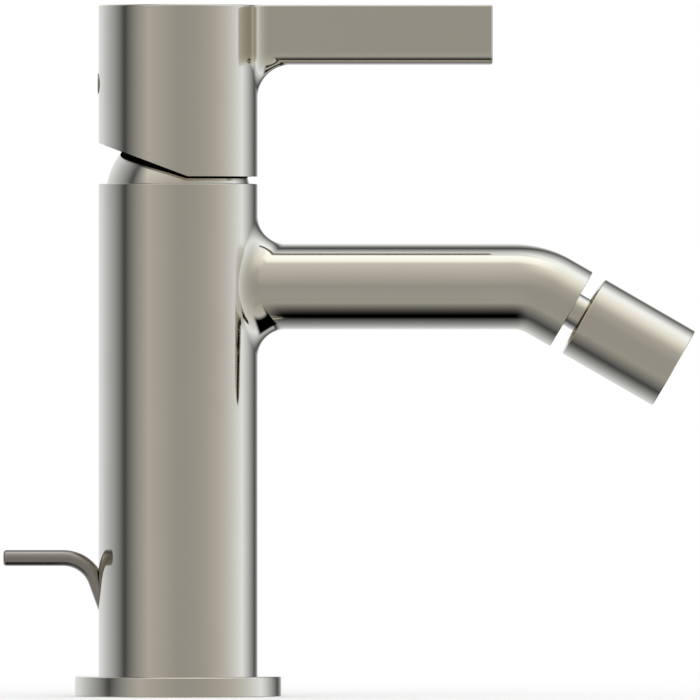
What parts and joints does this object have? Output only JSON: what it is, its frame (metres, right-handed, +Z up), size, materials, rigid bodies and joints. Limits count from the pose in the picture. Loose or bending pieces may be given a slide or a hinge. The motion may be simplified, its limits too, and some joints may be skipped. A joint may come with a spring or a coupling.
{
  "type": "bidet mixer",
  "caption": "Single-lever bidet mixer: slim round column, cap handle with flat lever, bent spout with swivelling spray nozzle and a lift rod for the pop-up waste.",
  "frame": {"origin": "centre of the underside, on the column's axis where it meets the deck", "axes": "+Z up along the column, +X toward the spout and the lever, +Y completes the right-handed set"},
  "size_m": [0.1738, 0.052, 0.1736],
  "materials": {
    "satin_metal": "polished warm nickel-tone finish",
    "dark_metal": "satin nickel tone, darker than the body",
    "brass": "machined brass",
    "steel": "plain stainless steel",
    "polymer": "moulded engineering plastic",
    "grey_polymer": "moulded grey plastic",
    "ceramic": null,
    "rubber": "black seal rubber"
  },
  "bodies": {
    "mixer_body": {"column_body": "satin_metal", "base_ring": "satin_metal", "base_gasket": "rubber", "cartridge_base": "polymer", "seat_seals": "rubber", "disc_seals": "rubber", "fixed_disc": "ceramic", "cartridge_housing": "polymer", "cartridge_nut": "brass", "turn_limit_ring": "grey_polymer", "dome_cover": "satin_metal", "dome_seal": "rubber", "spout_adapter": "brass", "adapter_seal": "rubber", "stud_seal": "rubber", "ball_stud": "satin_metal", "rod_guide": "polymer"},
    "cartridge_rotor": {"rotor": "grey_polymer", "rotor_seal": "rubber", "spindle_pin": "steel"},
    "lever_handle": {"handle": "satin_metal", "spindle": "brass", "handle_screw": "steel", "index_plug": "dark_metal"},
    "valve_disc": {"disc_carrier": "grey_polymer", "moving_disc": "ceramic"},
    "pitch_ring": {"slip_ring_front": "polymer"},
    "yaw_ring": {"slip_ring_rear": "polymer"},
    "nozzle": {"nozzle_housing": "satin_metal", "ball_retainer": "satin_metal", "aerator_shell": "dark_metal", "aerator_washer": "rubber", "aerator_screen": "steel", "aerator_jet": "grey_polymer"},
    "lift_rod": {"lift_rod": "dark_metal"}
  },
  "joints": [
    {"name": "handle_turn", "type": "hinge", "parent": "mixer_body", "child": "cartridge_rotor", "pos_m": [0, 0, 0.12535], "axis": [0, 0, 1], "range_deg": [-45, 45]},
    {"name": "handle_lift", "type": "hinge", "parent": "cartridge_rotor", "child": "lever_handle", "pos_m": [0, 0, 0.12535], "axis": [0, -1, 0], "range_deg": [0, 20.7]},
    {"name": "disc_slide", "type": "slide", "parent": "cartridge_rotor", "child": "valve_disc", "axis": [1, 0, 0], "range_m": [0, 0.003]},
    {"name": "nozzle_pitch", "type": "hinge", "parent": "mixer_body", "child": "pitch_ring", "pos_m": [0.10881, 0, 0.09145], "axis": [0, 1, 0], "range_deg": [-10, 10]},
    {"name": "nozzle_yaw", "type": "hinge", "parent": "pitch_ring", "child": "yaw_ring", "pos_m": [0.10881, 0, 0.09145], "axis": [0.5, 0, 0.866], "range_deg": [-10, 10]},
    {"name": "nozzle_spin", "type": "hinge", "parent": "yaw_ring", "child": "nozzle", "pos_m": [0.10881, 0, 0.09145], "axis": [0.866, 0, -0.5], "continuous": true},
    {"name": "rod_lift", "type": "slide", "parent": "mixer_body", "child": "lift_rod", "axis": [-0.342, 0, 0.9397], "range_m": [0, 0.012]}
  ],
  "couplings": [
    {"joint": "disc_slide", "follows": "handle_lift", "m_per_rad": 0.0081555}
  ]
}
